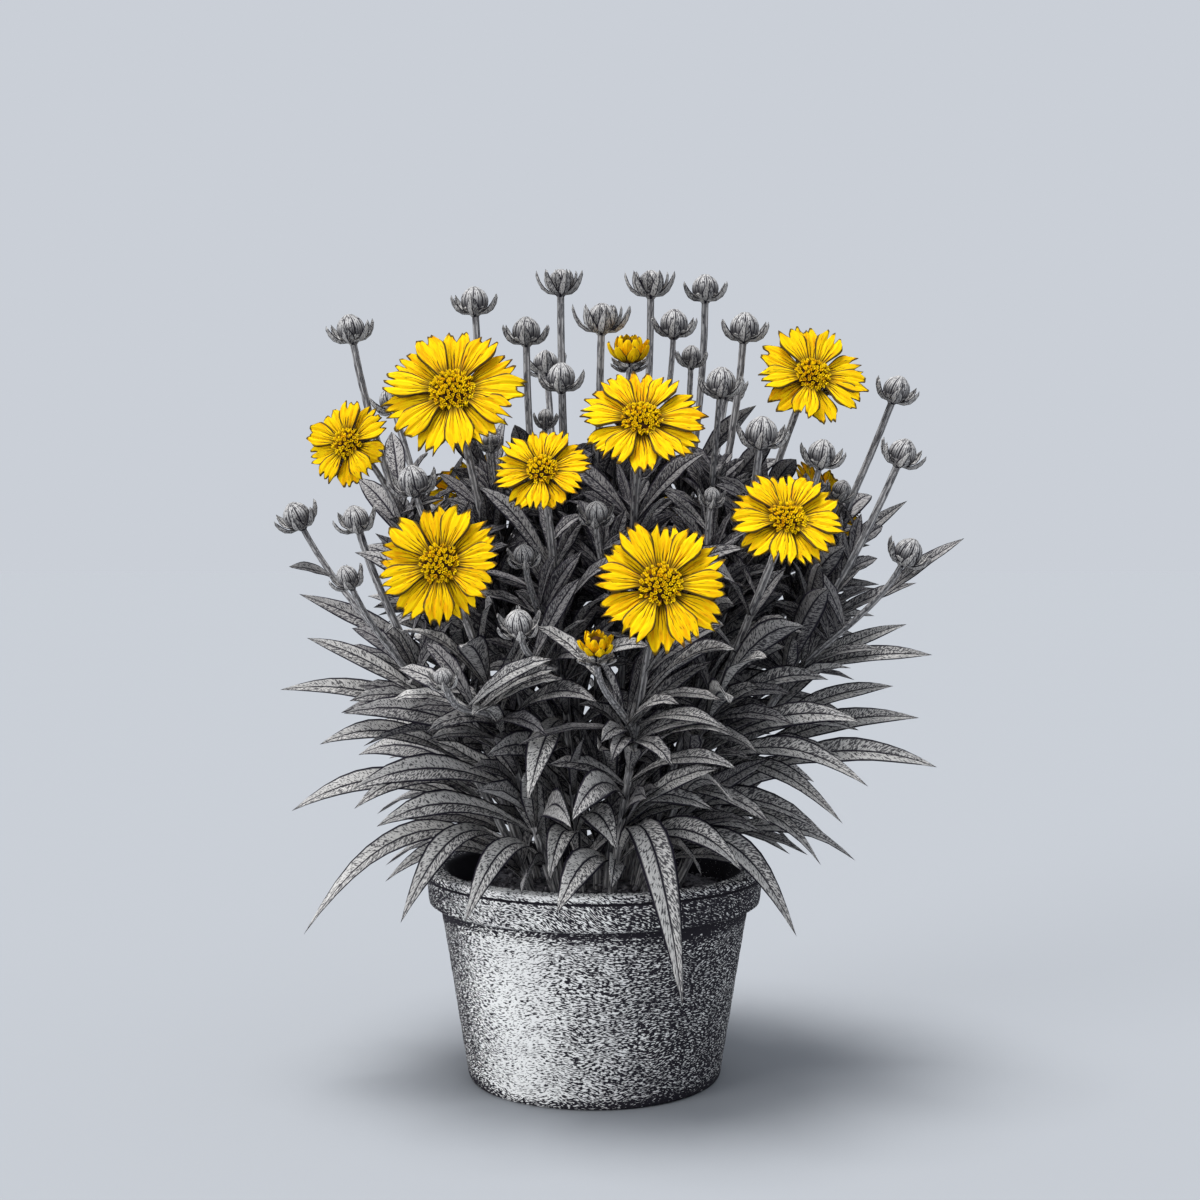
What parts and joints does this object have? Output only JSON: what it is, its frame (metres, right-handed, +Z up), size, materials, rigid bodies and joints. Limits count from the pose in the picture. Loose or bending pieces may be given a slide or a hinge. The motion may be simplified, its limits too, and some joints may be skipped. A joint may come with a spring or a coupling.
{
  "type": "potted coreopsis",
  "caption": "Flowering coreopsis in a round collared pot: toothed yellow daisy-like blooms and round buds on tall stalks over a dense dome of lance-shaped leaves.",
  "frame": {"origin": "the middle of the pot's foot, on the surface that the pot stands on", "axes": "+Z up along the pot's axis, -Y towards the front, where most of the blooms face, +X to the right as seen from the front"},
  "size_m": [0.2766, 0.2279, 0.3393],
  "materials": {
    "pot_clay": "matte",
    "soil": "matte",
    "foliage": "matte",
    "petal": "matte"
  },
  "bodies": {
    "root": {"pot": "pot_clay", "soil": "soil", "stem_01": "foliage", "stem_02": "foliage", "stem_03": "foliage", "stem_04": "foliage", "stem_05": "foliage", "stem_06": "foliage", "stem_07": "foliage", "stem_08": "foliage", "stem_09": "foliage", "stem_10": "foliage", "stem_11": "foliage", "stem_12": "foliage", "stem_13": "foliage", "stem_14": "foliage", "stem_15": "foliage", "stem_16": "foliage", "stem_17": "foliage", "stem_18": "foliage", "stem_19": "foliage", "stem_20": "foliage", "stem_21": "foliage", "stem_22": "foliage", "stem_23": "foliage", "stem_24": "foliage", "stem_25": "foliage", "bloom_01": "petal", "bloom_02": "petal", "bloom_03": "petal", "bloom_04": "petal", "bloom_05": "petal", "bloom_06": "petal", "bloom_07": "petal", "bloom_08": "petal", "bloom_09": "petal", "bloom_10": "petal", "bloom_11": "petal", "bloom_12": "petal", "bloom_13": "petal"}
  },
  "joints": []
}
